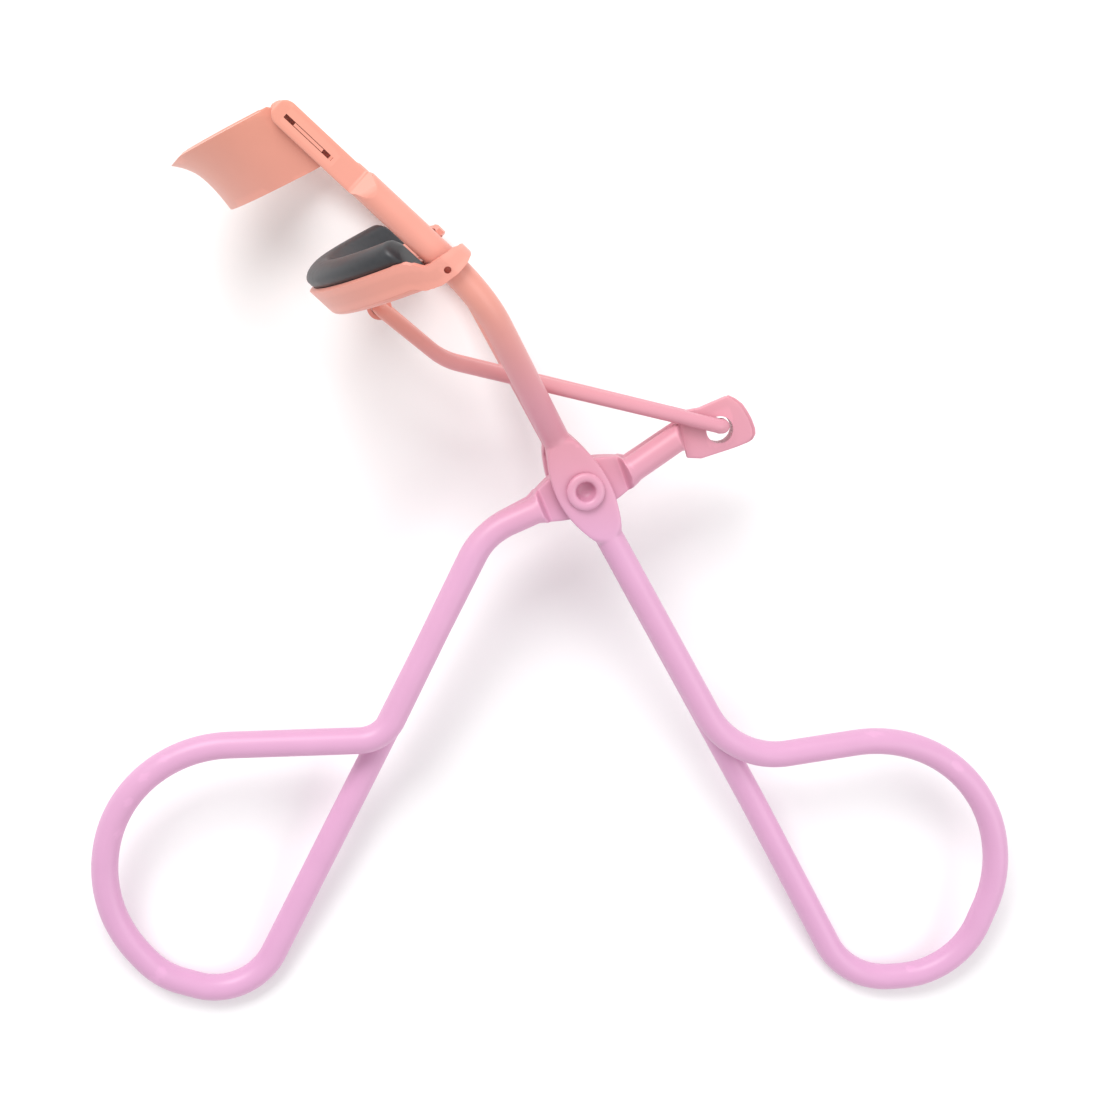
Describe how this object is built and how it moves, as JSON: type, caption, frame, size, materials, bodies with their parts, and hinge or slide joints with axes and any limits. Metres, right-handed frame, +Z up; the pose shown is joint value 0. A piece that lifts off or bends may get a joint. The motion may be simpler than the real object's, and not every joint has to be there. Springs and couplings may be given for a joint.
{
  "type": "eyelash curler",
  "caption": "Scissor-action eyelash curler: two bent-rod handles with finger loops cross at a tubular rivet and a wire link slides a padded cradle toward a fixed curved plate.",
  "frame": {"origin": "centre of the bounding box in plan, on the table the tool lies on", "axes": "+Z up from the table, +Y toward the jaws, +X toward the frame handle's loop side"},
  "size_m": [0.1032, 0.1018, 0.0345],
  "materials": {
    "frame_paint": "satin pink to lilac",
    "lever_paint": "satin pink to lilac",
    "rivet_paint": "satin pink",
    "plate_paint": "satin coral",
    "cradle_paint": "satin coral",
    "link_paint": "satin coral to pink",
    "pad_rubber": "matte dark grey"
  },
  "bodies": {
    "frame": {"frame_handle": "frame_paint", "upper_jaw_plate": "plate_paint", "pivot_rivet": "rivet_paint"},
    "lever": {"lever_handle": "lever_paint"},
    "cradle": {"lower_jaw_cradle": "cradle_paint", "rubber_pad": "pad_rubber"},
    "link": {"link_wire": "link_paint"}
  },
  "joints": [
    {"name": "lever_squeeze", "type": "hinge", "parent": "frame", "child": "lever", "pos_m": [0.00194, 0.00834, 0.01266], "axis": [-0.007, -0.1733, 0.9848], "range_deg": [0, 35]},
    {"name": "cradle_slide", "type": "slide", "parent": "frame", "child": "cradle", "axis": [-0.7262, 0.6779, 0.1141], "range_m": [0, 0.0093]},
    {"name": "link_swing", "type": "hinge", "parent": "cradle", "child": "link", "pos_m": [-0.01954, 0.02764, 0.0159], "axis": [-0.007, -0.1733, 0.9848], "range_deg": [0, 1.6]}
  ],
  "couplings": [
    {"joint": "cradle_slide", "follows": "lever_squeeze", "m_per_rad": 0.015224},
    {"joint": "link_swing", "follows": "lever_squeeze", "ratio": 0.045}
  ]
}
